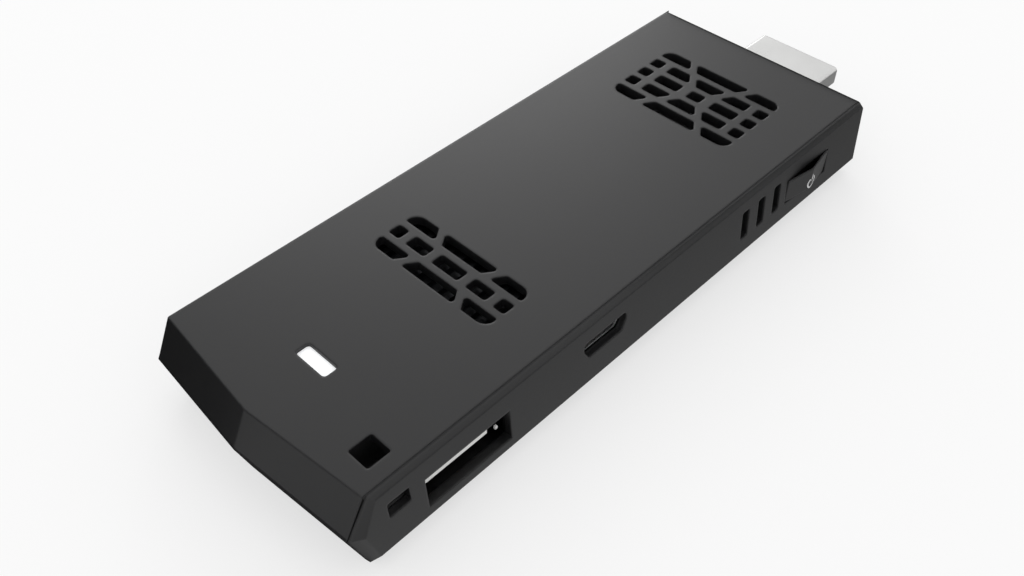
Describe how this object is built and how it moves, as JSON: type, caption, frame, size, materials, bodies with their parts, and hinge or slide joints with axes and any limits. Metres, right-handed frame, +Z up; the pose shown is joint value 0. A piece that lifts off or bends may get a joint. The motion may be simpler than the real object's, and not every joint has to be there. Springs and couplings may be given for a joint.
{
  "type": "hdmi stick computer",
  "caption": "Black stick computer with an HDMI plug at one end, vent grilles and a light window on top, and USB, micro-USB, side vents and a power button along one side.",
  "frame": {"origin": "on the rest face, under the middle of the whole length and on the case's centre line", "axes": "+X along the stick out of the HDMI plug, +Z up, -Y out of the port side"},
  "size_m": [0.1066, 0.0381, 0.0125],
  "materials": {
    "case_plastic": "matt black, fine moulded texture",
    "light_pipe": "translucent white",
    "plug_steel": "bright nickel-plated sheet",
    "socket_steel": "nickel-plated sheet",
    "socket_plastic": "black, glass filled",
    "tongue_plastic": "white, glass filled",
    "contact_gold": "gold plated",
    "ivory_plastic": "ivory",
    "board": "green solder mask on glass laminate",
    "chip_epoxy": "moulded epoxy",
    "ceramic": "fired ceramic",
    "crystal_can": "plated can",
    "led_package": "resin",
    "antenna_film": "copper on film",
    "lead_jacket": "thin jacket",
    "fan_lead_jacket": "thin jacket",
    "thermal_pad": "soft silicone",
    "spreader_alloy": "stamped and milled",
    "fan_plastic": "black, glass filled",
    "copper_coil": "wound copper",
    "bearing_bronze": "sintered",
    "magnet": "bonded ferrite",
    "steel": "ground or zinc plated"
  },
  "bodies": {
    "case": {"top_cover": "case_plastic", "bottom_cover": "case_plastic", "light_pipe": "light_pipe", "hdmi_shell": "plug_steel", "usb_shell": "socket_steel", "micro_usb_shell": "socket_steel", "card_socket_shell": "socket_steel", "radio_shield": "socket_steel", "hdmi_insulator": "socket_plastic", "micro_usb_tongue": "socket_plastic", "card_socket_base": "socket_plastic", "switch_body": "socket_plastic", "usb_tongue": "tongue_plastic", "hdmi_contacts": "contact_gold", "usb_contacts": "contact_gold", "micro_usb_contacts": "contact_gold", "card_socket_contacts": "contact_gold", "fan_connector": "ivory_plastic", "main_board": "board", "radio_module": "board", "processor": "chip_epoxy", "memory_chips": "chip_epoxy", "storage_chip": "chip_epoxy", "power_chip": "chip_epoxy", "inductors": "chip_epoxy", "capacitors": "ceramic", "clock_crystal": "crystal_can", "status_led": "led_package", "main_antenna": "antenna_film", "second_antenna": "antenna_film", "antenna_leads": "lead_jacket", "fan_lead": "fan_lead_jacket", "thermal_pad": "thermal_pad", "heat_spreader": "spreader_alloy", "fan_housing": "fan_plastic", "fan_lid": "fan_plastic", "fan_stator": "copper_coil", "fan_bearing": "bearing_bronze", "fan_screws": "steel", "board_screws": "steel", "spreader_screws": "steel"},
    "button": {"power_button": "case_plastic", "switch_plunger": "ivory_plastic"},
    "fan": {"fan_rotor": "fan_plastic", "fan_magnet": "magnet", "fan_shaft": "steel"},
    "slider": {"card_slider": "ivory_plastic"}
  },
  "joints": [
    {"name": "button_press", "type": "slide", "parent": "case", "child": "button", "axis": [0, 1, 0], "range_m": [0, 0.0003], "stiffness_N_per_m": 1500},
    {"name": "fan_spin", "type": "hinge", "parent": "case", "child": "fan", "pos_m": [0.0274, 0, 0.007], "axis": [0, 0, 1], "continuous": true},
    {"name": "card_push", "type": "slide", "parent": "case", "child": "slider", "axis": [0, -1, 0], "range_m": [0, 0.0015], "stiffness_N_per_m": 300}
  ]
}
